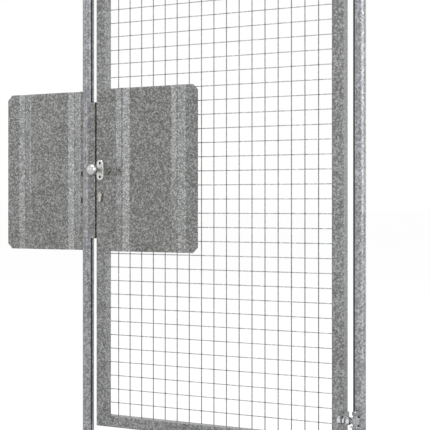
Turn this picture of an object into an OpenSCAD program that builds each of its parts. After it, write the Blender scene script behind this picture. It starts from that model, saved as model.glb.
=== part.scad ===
// Temporary fence gate: a square-tube leaf filled with welded wire mesh, hung on
// eyebolt hinges between two round posts, with folded guard plates round the lock.
// The origin is under the hinge post. The leaf runs towards -X and opens towards -Y.

/* [Posts] */
// Outside diameter of the round posts
post_d = 42.4; // [33:0.1:60]
// Wall of the round posts
post_wall = 2.6; // [1.5:0.1:4]
// Distance between the axes of the two posts
post_pitch = 1082; // [900:1:1400]
// Outside diameter of the bar that ties the tops of the posts
head_d = 38; // [26:1:40]
// Height of the post ends above the top of that bar
post_stub = 20; // [5:1:80]
// Clear height between the leaf and the bar over it
head_gap = 28; // [10:1:60]

/* [Feet] */
// Side of the square foot plates
foot_w = 150; // [110:1:250]
// Thickness of the foot plates and of the sill between them
foot_t = 8; // [5:1:15]
// Distance between the anchor holes of a foot plate
foot_holes = 110; // [80:1:200]
// Diameter of the anchor holes
foot_hole_d = 14; // [9:1:20]
// Width of the flat sill bar
sill_w = 60; // [40:1:100]

/* [Leaf] */
// Height of the leaf
leaf_h = 1900; // [1500:10:2300]
// Height of the leaf's lower edge above the ground
leaf_z = 100; // [60:1:150]
// Clear gap between a post and the leaf
side_gap = 27.8; // [22:0.1:40]
// Side of the leaf's square tube
tube = 40; // [34:1:60]
// Wall of the leaf's square tube
tube_wall = 2; // [1.5:0.1:4]
// Outer corner radius of the leaf's square tube
tube_r = 4; // [2.5:0.1:6]

/* [Mesh] */
// Pitch of the mesh wires, both ways
mesh_pitch = 50; // [40:1:80]
// Diameter of the mesh wires
wire_d = 3.5; // [3:0.1:6]
// Distance from the lock stile to the first upright wire
mesh_first_x = 47; // [10:1:50]
// Distance from the bottom rail to the first cross wire
mesh_first_z = 48; // [10:1:50]

/* [Guard plates] */
// Width of the plate on the leaf
leaf_plate_w = 426; // [360:1:500]
// Width of the plate on the latch post
post_plate_w = 400; // [360:1:500]
// Height of both guard plates
plate_h = 598; // [400:1:800]
// Thickness of the guard plates
plate_t = 2; // [1.5:0.1:4]
// Cut across the two outer corners of a plate
plate_chamfer = 20; // [5:1:40]
// Distance from a plate's outer edge to its first rib
rib_first = 80; // [60:1:110]
// Distance between the two ribs of a plate
rib_pitch = 234; // [180:1:260]
// Width of a rib
rib_w = 58; // [30:1:80]
// Height of a rib
rib_h = 8.5; // [4:0.5:14]
// Strip of the leaf's edge that its plate leaves bare
plate_inset = 7.5; // [2:0.5:15]
// Width of the slots for a fence clamp
slot_w = 9; // [7:1:12]
// Length of the slots for a fence clamp
slot_h = 16; // [12:1:30]
// Distance between the two slots
slot_pitch = 101; // [60:1:200]
// Distance from the post's axis to the slots
slot_x = 43; // [32:1:60]

/* [Lock] */
// Height of the handle above the ground
handle_z = 1046; // [900:1:1150]
// Distance from the leaf's edge to the handle axis
backset = 22; // [18:0.5:30]
// Distance from the handle axis down to the cylinder axis
lock_pitch = 92; // [72:1:110]
// Diameter of the ball knob
knob_d = 43; // [30:1:60]
// Distance from the guard plate to the centre of the knob
knob_reach = 56; // [40:1:80]
// Width of the oval roses
rose_w = 29; // [24:1:34]
// Height of the oval roses
rose_h = 76; // [64:1:90]
// Thickness of the roses
rose_t = 8; // [4:1:14]
// Distance between the two screws of a rose
rose_screws = 50; // [40:1:56]
// Length of the inner lever
lever_l = 125; // [90:1:150]
// Diameter of the inner lever
lever_d = 19; // [15:1:24]
// Distance from the leaf to the axis of the lever
lever_reach = 42; // [35:1:60]

/* [Keeper] */
// Height of the keeper channel on the latch post
keeper_h = 506; // [300:1:700]
// Depth of the keeper channel, front to back
keeper_d = 36; // [28:1:40]
// Wall of the keeper channel
keeper_wall = 3; // [2:0.5:5]
// Gap between the keeper channel and the leaf
keeper_gap = 6.4; // [5:0.1:10]

/* [Hinges] */
// Distance from the leaf's ends to the hinges
hinge_inset = 110; // [80:1:300]
// Distance from the front of the post to the axis of the hinge pin
pin_off = 14.8; // [14.8:0.1:30]
// Diameter of the hinge pins
pin_d = 14; // [10:1:16]
// Running clearance round the pins
pin_fit = 0.05; // [0.02:0.01:0.1]
// Outside diameter of the lugs on the post
lug_d = 22; // [20:1:28]
// Height of each lug
lug_h = 14; // [10:1:26]
// Outside diameter of the eye
eye_d = 26; // [24:1:28]
// Height of the eye
eye_h = 19; // [16:1:26]
// Vertical play between the eye and the lugs, beside the washers
eye_play = 7; // [2:0.5:10]
// Outside diameter of the washers round the pin
washer_d = 34; // [26:0.5:34]
// Thickness of the washers
washer_t = 3; // [1.5:0.5:4]
// Diameter of the eyebolt's shank
shank_d = 16; // [12:1:18]
// Thickness of the hinge plate on the leaf
hinge_plate_t = 5; // [4:0.5:8]
// Height of the hinge plate
hinge_plate_h = 40; // [34:1:60]
// Distance from the pin's axis to the front edge of the hinge plate
hinge_plate_edge = 16; // [16:1:30]

/* [Hidden] */

round_fn = 96;           // facets of a full round in OpenSCAD's own view
seat = 0.05;             // clearance where a piece is welded on a round tube
eps = 1;                 // how far a cut runs past what it cuts

post_r = post_d / 2;
pin_y = post_r + pin_off;
latch_x = -post_pitch;
leaf_right = -(post_r + side_gap);
leaf_left = latch_x + post_r + side_gap;
leaf_w = leaf_right - leaf_left;
leaf_top = leaf_z + leaf_h;
head_z = leaf_top + head_gap + head_d / 2;
post_top = head_z + head_d / 2 + post_stub;

open_left = leaf_left + tube;
open_right = leaf_right - tube;
open_bottom = leaf_z + tube;
open_top = leaf_top - tube;
first_x = open_left + mesh_first_x;
first_z = open_bottom + mesh_first_z;
wires_x = floor((open_right - wire_d - first_x) / mesh_pitch) + 1;
wires_z = floor((open_top - wire_d - first_z) / mesh_pitch) + 1;
lower_wires = floor(wires_z / 2);
mesh_split = first_z + (lower_wires - 0.5) * mesh_pitch;

plate_front = -tube / 2 - plate_t;
handle_x = leaf_left + backset;
cylinder_z = handle_z - lock_pitch;
case_t = 16;             // thickness of the lock case
case_h = 190;            // height of the lock case
case_drop = 50;          // how far the case's middle lies below the handle
face_w = 24;             // width of the lock's face strip
face_h = 230;            // height of the lock's face strip
bolt_fit = 0.3;          // clearance round the latch and the dead bolt
latch_h = 26;            // height of the latch bolt
latch_t = 11;            // thickness of the latch bolt
latch_up = 14;           // height of the latch's centre above the handle
dead_h = 34;             // height of the dead bolt
dead_t = 8;              // thickness of the dead bolt
dead_up = 34;            // height of the dead bolt's centre above the cylinder
bolt_depth = 9;          // how deep the withdrawn bolts reach into the case
bolt_proud = 0.8;        // how far the withdrawn bolts stand out
spindle_w = 8;           // side of the handle's square spindle

keeper_right = leaf_left - keeper_gap;

module on_front(depth) {
    // turns an outline drawn in X and Z into a slab centred on the leaf's plane
    rotate([90, 0, 0]) linear_extrude(height = depth, center = true) children();
}

module round_square(side, r) {
    square([side, side - 2 * r], center = true);
    square([side - 2 * r, side], center = true);
    for (x = [-1, 1], y = [-1, 1])
        translate([x * (side / 2 - r), y * (side / 2 - r)]) circle(r = r, $fn = 48);
}

module square_tube(length) {
    linear_extrude(height = length) difference() {
        round_square(tube, tube_r);
        round_square(tube - 2 * tube_wall, tube_r - tube_wall);
    }
}

module round_tube(d, wall, length) {
    difference() {
        cylinder(d = d, h = length, $fn = round_fn);
        translate([0, 0, -eps]) cylinder(d = d - 2 * wall, h = length + 2 * eps, $fn = round_fn);
    }
}

module post(x) {
    translate([x, 0, foot_t]) round_tube(post_d, post_wall, post_top - foot_t);
}

module post_bore(x, grow) {
    translate([x, 0, -eps]) cylinder(r = post_r + grow, h = post_top + 2 * eps, $fn = round_fn);
}

module foot(x) {
    translate([x, 0, 0]) difference() {
        translate([-foot_w / 2, -foot_w / 2, 0]) cube([foot_w, foot_w, foot_t]);
        for (i = [-1, 1], j = [-1, 1])
            translate([i * foot_holes / 2, j * foot_holes / 2, -eps])
                cylinder(d = foot_hole_d, h = foot_t + 2 * eps, $fn = 48);
    }
}

module cap(x) {
    cap_t = 4;
    plug_h = 14;
    translate([x, 0, post_top]) {
        cylinder(d = post_d + 2, h = cap_t, $fn = round_fn);
        translate([0, 0, -plug_h])
            cylinder(r = post_r - post_wall - seat, h = plug_h, $fn = round_fn);
    }
}

// ---- frame ----
module hinge_post() { color("silver") post(0); }
module latch_post() { color("silver") post(latch_x); }

module head_bar() {
    color("silver") difference() {
        translate([latch_x, 0, head_z]) rotate([0, 90, 0])
            round_tube(head_d, post_wall, post_pitch);
        post_bore(0, seat);
        post_bore(latch_x, seat);
    }
}

module ground_sill() {
    color("silver") translate([latch_x + foot_w / 2, -sill_w / 2, 0])
        cube([post_pitch - foot_w, sill_w, foot_t]);
}

module hinge_post_foot() { color("silver") foot(0); }
module latch_post_foot() { color("silver") foot(latch_x); }
module hinge_post_cap() { color("dimgray") cap(0); }
module latch_post_cap() { color("dimgray") cap(latch_x); }

module hinge_lug(z, up) {
    // a drilled barrel with a web that is welded to the front of the post; its
    // outer end is chamfered
    web_w = 12;
    chamfer = 4;
    translate([0, -pin_y, z]) mirror([0, 0, 1 - up]) difference() {
        union() {
            cylinder(d = lug_d, h = lug_h - chamfer, $fn = 64);
            translate([0, 0, lug_h - chamfer])
                cylinder(d1 = lug_d, d2 = lug_d - 2 * chamfer, h = chamfer, $fn = 64);
            translate([-web_w / 2, 0, 0]) cube([web_w, pin_y, lug_h - chamfer]);
        }
        translate([0, 0, -eps]) cylinder(r = pin_d / 2 + 0.02, h = lug_h - chamfer + eps, $fn = 64);
        translate([0, pin_y, -eps]) cylinder(r = post_r + seat, h = lug_h + 2 * eps, $fn = round_fn);
    }
}

// The eye hangs a little above the lower lug of the lower hinge; at the upper hinge
// it rests on its washer, and that hinge carries the leaf.
low_gap = washer_t + eye_play;
top_gap = washer_t + seat;
gap_sum = 2 * (washer_t + eye_play);

module hinge_lugs(z, below) {
    hinge_lug(z + eye_h / 2 + gap_sum - below, 1);
    hinge_lug(z - eye_h / 2 - below, 0);
}

module hinge_pin(z, below) {
    // its ends stop inside the closed ends of the lugs
    grip = lug_h - 5;
    translate([0, -pin_y, z - eye_h / 2 - below - grip])
        cylinder(d = pin_d, h = eye_h + gap_sum + 2 * grip, $fn = 64);
}

module hinge_washers(z, below) {
    // one lies on the eye, the other on the lower lug; a cut at the back clears the post
    post_gap = 0.5;
    for (z0 = [z + eye_h / 2 + seat / 2, z - eye_h / 2 - below + seat / 2])
        translate([0, -pin_y, z0]) difference() {
            cylinder(d = washer_d, h = washer_t, $fn = 96);
            translate([0, 0, -eps])
                cylinder(r = pin_d / 2 + pin_fit, h = washer_t + 2 * eps, $fn = 64);
            translate([0, pin_y, -eps])
                cylinder(r = post_r + post_gap, h = washer_t + 2 * eps, $fn = round_fn);
        }
}

low_hinge_z = leaf_z + hinge_inset;
top_hinge_z = leaf_top - hinge_inset;

module upper_hinge_lugs() { color("silver") hinge_lugs(top_hinge_z, top_gap); }
module lower_hinge_lugs() { color("silver") hinge_lugs(low_hinge_z, low_gap); }
module upper_hinge_pin() { color("lightgray") hinge_pin(top_hinge_z, top_gap); }
module lower_hinge_pin() { color("lightgray") hinge_pin(low_hinge_z, low_gap); }
module upper_hinge_washers() { color("lightgray") hinge_washers(top_hinge_z, top_gap); }
module lower_hinge_washers() { color("lightgray") hinge_washers(low_hinge_z, low_gap); }

module keeper_channel() {
    // an open channel on the post's leaf side, with slots for the latch and the dead bolt
    w = keeper_right - latch_x;
    slot_gap = 8;
    color("silver") difference() {
        translate([latch_x, -keeper_d / 2, handle_z - keeper_h / 2])
            cube([w, keeper_d, keeper_h]);
        translate([latch_x - eps, keeper_wall - keeper_d / 2, handle_z - keeper_h / 2 - eps])
            cube([w - keeper_wall + eps, keeper_d - 2 * keeper_wall, keeper_h + 2 * eps]);
        post_bore(latch_x, seat);
        translate([keeper_right - keeper_wall - eps, -latch_t / 2 - slot_gap / 2,
                   handle_z + latch_up - latch_h / 2 - slot_gap / 2])
            cube([keeper_wall + 2 * eps, latch_t + slot_gap, latch_h + slot_gap]);
        translate([keeper_right - keeper_wall - eps, -dead_t / 2 - slot_gap / 2,
                   cylinder_z + dead_up - dead_h / 2 - slot_gap / 2])
            cube([keeper_wall + 2 * eps, dead_t + slot_gap, dead_h + slot_gap]);
    }
}

// Outline of a ribbed sheet seen from above: outer edge at 0, ribs standing up in +Y.
function rib_line(w) = [
    [0, 0],
    for (i = [0, 1], p = [[-0.5, 0], [0, 1], [0.5, 0]])
        [rib_first + i * rib_pitch + p[0] * rib_w, p[1] * rib_h],
    [w, 0]];

module ribbed_sheet(w) {
    line = rib_line(w);
    n = len(line);
    back = [for (i = [n - 1:-1:0]) line[i] - [0, plate_t]];
    intersection() {
        linear_extrude(height = plate_h) polygon(concat(line, back));
        translate([0, rib_h / 2, 0]) on_front(4 * rib_h + 4 * plate_t) polygon([
            [0, plate_chamfer], [plate_chamfer, 0], [w, 0],
            [w, plate_h], [plate_chamfer, plate_h], [0, plate_h - plate_chamfer]]);
    }
}

post_plate_back = post_r + seat;
module post_guard_plate() {
    // ribs towards the back; the plate touches the back of the latch post
    outer = latch_x - (post_plate_w - 4);
    color("darkgray") difference() {
        translate([outer, post_plate_back + plate_t, handle_z - plate_h / 2])
            ribbed_sheet(post_plate_w);
        for (i = [-1, 1])
            translate([latch_x - slot_x, post_r, handle_z - slot_drop + i * slot_pitch / 2])
                rotate([-90, 0, 0]) clamp_slot();
    }
}

slot_drop = 61;          // how far the pair of slots lies below the handle
module clamp_slot() {
    run = slot_h - slot_w;
    linear_extrude(height = plate_t + 2 * eps) {
        square([slot_w, run], center = true);
        for (i = [-1, 1]) translate([0, i * run / 2]) circle(d = slot_w, $fn = 48);
    }
}

module post_guard_tabs() {
    tab_h = 40;
    tab_w = 22;
    tab_d = 14;
    tab_rows = [-0.4, 0, 0.4];
    color("silver") for (r = tab_rows) difference() {
        translate([latch_x - tab_w, post_plate_back - tab_d, handle_z + r * plate_h - tab_h / 2])
            cube([tab_w, tab_d, tab_h]);
        post_bore(latch_x, seat);
    }
}

// ---- leaf ----
module stile(x) {
    translate([x, 0, leaf_z]) square_tube(leaf_h);
}

module rail(z) {
    translate([leaf_left, 0, z]) rotate([0, 90, 0]) square_tube(leaf_w);
}

module stile_mitre() {
    on_front(2 * tube) polygon([
        [leaf_left, leaf_z], [open_left, open_bottom],
        [open_left, open_top], [leaf_left, leaf_top]]);
}

module lock_stile() {
    color("silver") difference() {
        intersection() {
            stile(leaf_left + tube / 2);
            stile_mitre();
        }
        translate([leaf_left - eps, -face_w / 2 - seat, handle_z - case_drop - face_h / 2 - seat])
            cube([tube_wall + 2 * eps, face_w + 2 * seat, face_h + 2 * seat]);
        lock_holes(2 * tube);
    }
}

module hinge_stile() {
    color("silver") intersection() {
        stile(leaf_right - tube / 2);
        on_front(2 * tube) polygon([
            [leaf_right, leaf_z], [leaf_right, leaf_top],
            [open_right, open_top], [open_right, open_bottom]]);
    }
}

module top_rail() {
    color("silver") intersection() {
        rail(leaf_top - tube / 2);
        on_front(2 * tube) polygon([
            [leaf_left, leaf_top], [open_left, open_top],
            [open_right, open_top], [leaf_right, leaf_top]]);
    }
}

module bottom_rail() {
    color("silver") intersection() {
        rail(leaf_z + tube / 2);
        on_front(2 * tube) polygon([
            [leaf_left, leaf_z], [leaf_right, leaf_z],
            [open_right, open_bottom], [open_left, open_bottom]]);
    }
}

module mesh_grid(z0, z1, row0, rows) {
    on_front(wire_d) {
        for (i = [0:wires_x - 1])
            translate([first_x + i * mesh_pitch - wire_d / 2, z0]) square([wire_d, z1 - z0]);
        for (k = [row0:row0 + rows - 1])
            translate([open_left, first_z + k * mesh_pitch - wire_d / 2])
                square([open_right - open_left, wire_d]);
    }
}

module lower_mesh() { color("gainsboro") mesh_grid(open_bottom, mesh_split, 0, lower_wires); }
module upper_mesh() {
    color("gainsboro") mesh_grid(mesh_split, open_top, lower_wires, wires_z - lower_wires);
}

module leaf_guard_plate() {
    // ribs towards the front; the inner edge lies on the lock stile
    color("darkgray") difference() {
        translate([leaf_left + plate_inset + leaf_plate_w, plate_front + plate_t,
                   handle_z - plate_h / 2])
            mirror([1, 0, 0]) mirror([0, 1, 0]) translate([0, plate_t, 0])
                ribbed_sheet(leaf_plate_w);
        lock_holes(4 * tube);
    }
}

module euro_profile(grow) {
    body_r = 8.5;
    leg_r = 5;
    leg_l = 19.5;
    circle(r = body_r + grow, $fn = 64);
    translate([-leg_r - grow, -leg_l]) square([2 * (leg_r + grow), leg_l]);
    translate([0, -leg_l]) circle(r = leg_r + grow, $fn = 48);
}

module lock_holes(depth) {
    // passages for the handle's spindle and for the cylinder
    spindle_hole = 16;
    translate([handle_x, 0, handle_z]) rotate([90, 0, 0])
        cylinder(d = spindle_hole, h = depth, center = true, $fn = 64);
    translate([handle_x, 0, cylinder_z]) on_front(depth) euro_profile(0.5);
}

module bolt_block(h, t, up, grow) {
    depth = tube_wall + bolt_depth + bolt_proud;
    translate([leaf_left - bolt_proud - grow, -t / 2 - grow, up - h / 2 - grow])
        cube([depth + 2 * grow, t + 2 * grow, h + 2 * grow]);
}

module lock_case() {
    case_w = tube - 2 * tube_wall - 4;
    face_t = 3;
    color("gainsboro") difference() {
        union() {
            translate([leaf_left, -face_w / 2, handle_z - case_drop - face_h / 2])
                cube([face_t, face_w, face_h]);
            translate([leaf_left + tube_wall, -case_t / 2, handle_z - case_drop - case_h / 2])
                cube([case_w, case_t, case_h]);
        }
        bolt_block(latch_h, latch_t, handle_z + latch_up, bolt_fit);
        bolt_block(dead_h, dead_t, cylinder_z + dead_up, bolt_fit);
        translate([handle_x, 0, cylinder_z]) on_front(2 * case_t) euro_profile(seat);
        spindle(seat);
    }
}

module latch_bolt() { color("gainsboro") bolt_block(latch_h, latch_t, handle_z + latch_up, 0); }
module dead_bolt() { color("gainsboro") bolt_block(dead_h, dead_t, cylinder_z + dead_up, 0); }

module spindle(grow) {
    side = spindle_w + 2 * grow;
    translate([handle_x - side / 2, -case_t / 2 - eps, handle_z - side / 2])
        cube([side, tube / 2 + case_t / 2 + rose_t + eps, side]);
}

module rose_outline() {
    run = rose_h - rose_w;
    square([rose_w, run], center = true);
    for (i = [-1, 1]) translate([0, i * run / 2]) circle(d = rose_w, $fn = 64);
}

module rose(y0) {
    // an oval rose with two screw holes and a hole for the neck
    screw_d = 6.5;
    neck_hole = 18.2;
    translate([handle_x, y0 + rose_t, handle_z]) rotate([90, 0, 0])
        linear_extrude(height = rose_t) difference() {
            rose_outline();
            circle(d = neck_hole, $fn = 64);
            for (i = [-1, 1]) translate([0, i * rose_screws / 2]) circle(d = screw_d, $fn = 48);
        }
}

module outer_rose() { color("whitesmoke") rose(plate_front - rose_t); }
module inner_rose() { color("whitesmoke") rose(tube / 2); }

module door_knob() {
    neck_d = 18;
    color("whitesmoke") translate([handle_x, plate_front, handle_z]) rotate([90, 0, 0]) {
        cylinder(d = neck_d, h = knob_reach, $fn = 64);
        translate([0, 0, knob_reach]) sphere(d = knob_d, $fn = 64);
    }
}

module lock_cylinder() {
    proud = 9;
    length = tube + plate_t + 2 * proud;
    color("gold") translate([handle_x, proud + tube / 2 - length / 2, cylinder_z])
        on_front(length) euro_profile(0);
}

module inner_lever() {
    neck_d = 18;
    color("whitesmoke") {
        spindle(0);
        translate([handle_x, tube / 2, handle_z]) rotate([-90, 0, 0])
            cylinder(d = neck_d, h = lever_reach, $fn = 64);
        translate([handle_x, tube / 2 + lever_reach, handle_z]) {
            sphere(d = lever_d, $fn = 64);
            rotate([0, 90, 0]) cylinder(d = lever_d, h = lever_l, $fn = 64);
        }
    }
}

module hinge_plate(z) {
    front = pin_y + hinge_plate_edge;
    color("silver") difference() {
        translate([leaf_right, -front, z - hinge_plate_h / 2])
            cube([hinge_plate_t, front + tube / 2, hinge_plate_h]);
        translate([leaf_right - eps, -pin_y, z]) rotate([0, 90, 0])
            cylinder(d = shank_d + 1, h = hinge_plate_t + 2 * eps, $fn = 64);
    }
}

nut_af = 1.5 * shank_d;
nut_h = 0.8 * shank_d;
jam_h = 0.5 * shank_d;
shank_end = leaf_right - nut_h - 4;

module eyebolt(z) {
    color("lightgray") translate([0, -pin_y, z]) difference() {
        union() {
            translate([0, 0, -eye_h / 2]) cylinder(d = eye_d, h = eye_h, $fn = 64);
            translate([shank_end, 0, 0]) rotate([0, 90, 0])
                cylinder(d = shank_d, h = -shank_end, $fn = 64);
        }
        translate([0, 0, -eye_h]) cylinder(r = pin_d / 2 + pin_fit, h = 2 * eye_h, $fn = 64);
    }
}

module nut(x, z, h) {
    // a hexagon nut with flats to the front and back
    translate([x, -pin_y, z]) rotate([0, 90, 0]) difference() {
        cylinder(d = nut_af / cos(30), h = h, $fn = 6);
        translate([0, 0, -eps]) cylinder(r = shank_d / 2 + seat, h = h + 2 * eps, $fn = 64);
    }
}

module hinge_nuts(z) {
    eye_nut_gap = 5;
    color("lightgray") {
        nut(leaf_right - nut_h, z, nut_h);
        nut(leaf_right + hinge_plate_t, z, jam_h);
        nut(-eye_d / 2 - eye_nut_gap - nut_h, z, nut_h);
    }
}

module upper_hinge_plate() { hinge_plate(top_hinge_z); }
module lower_hinge_plate() { hinge_plate(low_hinge_z); }
module upper_eyebolt() { eyebolt(top_hinge_z); }
module lower_eyebolt() { eyebolt(low_hinge_z); }
module upper_hinge_nuts() { hinge_nuts(top_hinge_z); }
module lower_hinge_nuts() { hinge_nuts(low_hinge_z); }

hinge_post();
latch_post();
head_bar();
ground_sill();
hinge_post_foot();
latch_post_foot();
hinge_post_cap();
latch_post_cap();
upper_hinge_lugs();
upper_hinge_pin();
upper_hinge_washers();
lower_hinge_lugs();
lower_hinge_pin();
lower_hinge_washers();
keeper_channel();
post_guard_plate();
post_guard_tabs();
lock_stile();
hinge_stile();
top_rail();
bottom_rail();
lower_mesh();
upper_mesh();
leaf_guard_plate();
lock_case();
latch_bolt();
dead_bolt();
outer_rose();
door_knob();
lock_cylinder();
inner_rose();
inner_lever();
upper_hinge_plate();
upper_eyebolt();
upper_hinge_nuts();
lower_hinge_plate();
lower_eyebolt();
lower_hinge_nuts();
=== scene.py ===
import math

import bmesh
import bpy
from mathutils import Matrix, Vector


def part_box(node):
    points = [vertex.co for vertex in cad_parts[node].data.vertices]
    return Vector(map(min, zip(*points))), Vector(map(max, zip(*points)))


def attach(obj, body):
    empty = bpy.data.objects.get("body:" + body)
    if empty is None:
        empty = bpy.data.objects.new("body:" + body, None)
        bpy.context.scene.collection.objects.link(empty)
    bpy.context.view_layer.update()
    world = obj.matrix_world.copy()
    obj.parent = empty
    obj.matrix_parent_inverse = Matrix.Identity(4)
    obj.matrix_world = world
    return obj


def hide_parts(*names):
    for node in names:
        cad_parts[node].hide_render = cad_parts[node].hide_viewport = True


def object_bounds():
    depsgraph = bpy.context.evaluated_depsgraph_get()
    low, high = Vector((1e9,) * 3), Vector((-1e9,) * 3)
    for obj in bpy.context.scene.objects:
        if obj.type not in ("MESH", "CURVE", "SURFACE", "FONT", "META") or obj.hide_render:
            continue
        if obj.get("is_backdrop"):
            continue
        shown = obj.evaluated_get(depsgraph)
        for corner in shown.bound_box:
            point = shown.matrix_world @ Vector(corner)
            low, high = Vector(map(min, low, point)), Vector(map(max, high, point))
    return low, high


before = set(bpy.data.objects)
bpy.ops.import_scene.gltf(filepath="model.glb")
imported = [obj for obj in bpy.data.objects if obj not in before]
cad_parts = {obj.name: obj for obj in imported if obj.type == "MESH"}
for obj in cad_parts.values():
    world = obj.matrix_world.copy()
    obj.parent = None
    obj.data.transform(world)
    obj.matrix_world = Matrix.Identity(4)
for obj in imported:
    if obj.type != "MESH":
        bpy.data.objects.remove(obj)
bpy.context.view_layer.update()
bpy.ops.object.select_all(action="DESELECT")

# ---- The view -------------------------------------------------------------------------
# A level camera 0.92 m above the ground, to the right of the gate and 3.6 m in front of
# it, looking left towards the lock. A slight shift brings in the lower hinge.
view = bpy.data.cameras.new("view")
view.sensor_width = 36
view.lens = 96.96
view.shift_y = -0.0239
camera = bpy.data.objects.new("camera", view)
camera.location = (1.4093, -3.577, 0.918)
camera.rotation_euler = (math.radians(90), 0, math.radians(28.62))
bpy.context.scene.collection.objects.link(camera)
bpy.context.scene.camera = camera
bpy.context.scene.view_settings.view_transform = "Standard"

# ---- The studio -----------------------------------------------------------------------
# A white floor and a white surround, with broad lamps in front, on the left, on the
# right, behind on the right and above. The floor looks white from the camera and in
# reflections, and keeps a soft shadow of the gate.


def seen_directly(nodes, links):
    """A 0 to 1 socket that is 1 for rays from the camera, reflected or let through."""
    path = nodes.new("ShaderNodeLightPath")
    total = path.outputs["Is Camera Ray"]
    for kind in ("Is Glossy Ray", "Is Transmission Ray"):
        either = nodes.new("ShaderNodeMath")
        either.operation = "MAXIMUM"
        links.new(total, either.inputs[0])
        links.new(path.outputs[kind], either.inputs[1])
        total = either.outputs[0]
    return total


world = bpy.data.worlds.new("studio")
bpy.context.scene.world = world
world.use_nodes = True
nodes, links = world.node_tree.nodes, world.node_tree.links
nodes.clear()
soft_fill = nodes.new("ShaderNodeBackground")
soft_fill.inputs["Color"].default_value = (1, 1, 1, 1)
soft_fill.inputs["Strength"].default_value = 0.45
white_surround = nodes.new("ShaderNodeBackground")
white_surround.inputs["Color"].default_value = (1, 1, 1, 1)
mix = nodes.new("ShaderNodeMixShader")
links.new(seen_directly(nodes, links), mix.inputs["Fac"])
links.new(soft_fill.outputs[0], mix.inputs[1])
links.new(white_surround.outputs[0], mix.inputs[2])
links.new(mix.outputs[0], nodes.new("ShaderNodeOutputWorld").inputs["Surface"])

for name, place, aim, wide, tall, power, colour in (
        ("lamp_front", (-1.4, -8.0, 1.5), (-0.8, 0, 1.2), 1.7, 6.4, 70, (0.88, 0.935, 1)),
        ("lamp_left", (-5.2, -2.6, 2.6), (-0.8, 0, 1.2), 1.8, 3.4, 27, (0.93, 0.96, 1)),
        ("lamp_right", (4.2, -1.0, 2.4), (-0.4, 0, 1.0), 3.6, 3.6, 138, (0.92, 0.955, 1)),
        ("lamp_back_right", (2.6, 4.6, 1.4), (0, 0, 1.2), 2.4, 4.0, 24, (1, 1, 1)),
        ("lamp_top", (-0.6, -0.4, 7.5), (-0.6, 0, 1.0), 3.6, 3.6, 330, (1, 1, 1))):
    lamp = bpy.data.lights.new(name, "AREA")
    lamp.color = colour
    lamp.shape = "RECTANGLE"
    lamp.size, lamp.size_y = wide, tall
    lamp.energy = power
    holder = bpy.data.objects.new(name, lamp)
    holder.location = place
    holder.rotation_euler = (Vector(aim) - Vector(place)).to_track_quat("-Z", "Y").to_euler()
    bpy.context.scene.collection.objects.link(holder)

bpy.ops.mesh.primitive_plane_add(size=400, location=(0, 0, 0))
floor = bpy.context.object
floor.name = "floor"
floor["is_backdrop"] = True
ground = bpy.data.materials.new("floor_white")
ground.use_nodes = True
nodes, links = ground.node_tree.nodes, ground.node_tree.links
nodes.clear()
paint = nodes.new("ShaderNodeBsdfDiffuse")
paint.inputs["Color"].default_value = (0.8, 0.8, 0.8, 1)
glow = nodes.new("ShaderNodeEmission")
glow.inputs["Strength"].default_value = 1.08
share = nodes.new("ShaderNodeMath")
share.operation = "MULTIPLY"
share.inputs[1].default_value = 0.87
links.new(seen_directly(nodes, links), share.inputs[0])
mix = nodes.new("ShaderNodeMixShader")
links.new(share.outputs[0], mix.inputs["Fac"])
links.new(paint.outputs[0], mix.inputs[1])
links.new(glow.outputs[0], mix.inputs[2])
links.new(mix.outputs[0], nodes.new("ShaderNodeOutputMaterial").inputs["Surface"])
floor.data.materials.append(ground)

# ---- The two posts --------------------------------------------------------------------
# Round steel tube of 42.4 mm, hot-dip galvanised, standing on its foot plate in a fillet
# weld. A thin black strip along each post, on the side of the leaf, is painted shade: it
# stands for the leaf's shaded edge reflected in the tube.


class Value:
    """A number inside a finish: arithmetic on it adds the Math nodes."""

    def __init__(self, finish, socket):
        self.finish, self.socket = finish, socket

    def _math(self, operation, first, second):
        return self.finish.value("ShaderNodeMath", 0, {"operation": operation},
                                 {0: first, 1: second})

    def __add__(self, other):
        return self._math("ADD", self, other)

    def __radd__(self, other):
        return self._math("ADD", other, self)

    def __sub__(self, other):
        return self._math("SUBTRACT", self, other)

    def __rsub__(self, other):
        return self._math("SUBTRACT", other, self)

    def __mul__(self, other):
        return self._math("MULTIPLY", self, other)

    def __rmul__(self, other):
        return self._math("MULTIPLY", other, self)

    def __pow__(self, other):
        return self._math("POWER", self, other)


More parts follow.
